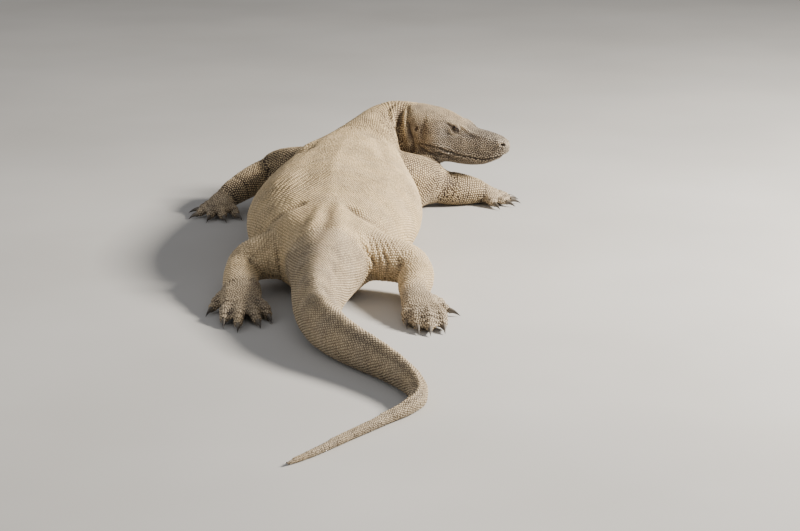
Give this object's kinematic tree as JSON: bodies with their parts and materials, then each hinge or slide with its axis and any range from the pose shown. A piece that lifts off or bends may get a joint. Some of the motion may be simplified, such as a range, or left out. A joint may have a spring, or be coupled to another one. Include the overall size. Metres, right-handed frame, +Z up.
{
  "type": "komodo dragon",
  "caption": "Life-size still model of a Komodo dragon lying on its belly, head raised and turned to its right, limbs sprawled and tail bent behind it.",
  "frame": {"origin": "on the floor, under the middle of the trunk's resting face", "axes": "+Z up; +Y forward along the trunk, from the hips to the shoulders; +X the animal's right, the side its head is turned to"},
  "size_m": [0.8668, 2.1819, 0.2713],
  "materials": {
    "skin": "dry, dusty hide of small bead-like scales",
    "head_skin": "dry hide of fine scales, greyer than the body, pale flecks on the snout and lips",
    "tail_skin": "dry hide of small keeled scales in close rings",
    "foot_skin": "dark, finely scaled hide with smooth pads",
    "eye": "wet gloss, dark brown",
    "claw": "dark horn, worn paler at the tip"
  },
  "bodies": {
    "root": {"head": "head_skin", "lower_jaw": "head_skin", "eye_left": "eye", "eye_right": "eye", "neck": "skin", "trunk": "skin", "tail_1": "tail_skin", "tail_2": "tail_skin", "tail_3": "tail_skin", "tail_4": "tail_skin", "arm_left_upper": "skin", "arm_left_lower": "skin", "arm_left_hand": "foot_skin", "arm_left_claw_1": "claw", "arm_left_claw_2": "claw", "arm_left_claw_3": "claw", "arm_left_claw_4": "claw", "arm_left_claw_5": "claw", "arm_right_upper": "skin", "arm_right_lower": "skin", "arm_right_hand": "foot_skin", "arm_right_claw_1": "claw", "arm_right_claw_2": "claw", "arm_right_claw_3": "claw", "arm_right_claw_4": "claw", "arm_right_claw_5": "claw", "leg_left_upper": "skin", "leg_left_lower": "skin", "leg_left_foot": "foot_skin", "leg_left_claw_1": "claw", "leg_left_claw_2": "claw", "leg_left_claw_3": "claw", "leg_left_claw_4": "claw", "leg_left_claw_5": "claw", "leg_right_upper": "skin", "leg_right_lower": "skin", "leg_right_foot": "foot_skin", "leg_right_claw_1": "claw", "leg_right_claw_2": "claw", "leg_right_claw_3": "claw", "leg_right_claw_4": "claw", "leg_right_claw_5": "claw"}
  },
  "joints": []
}
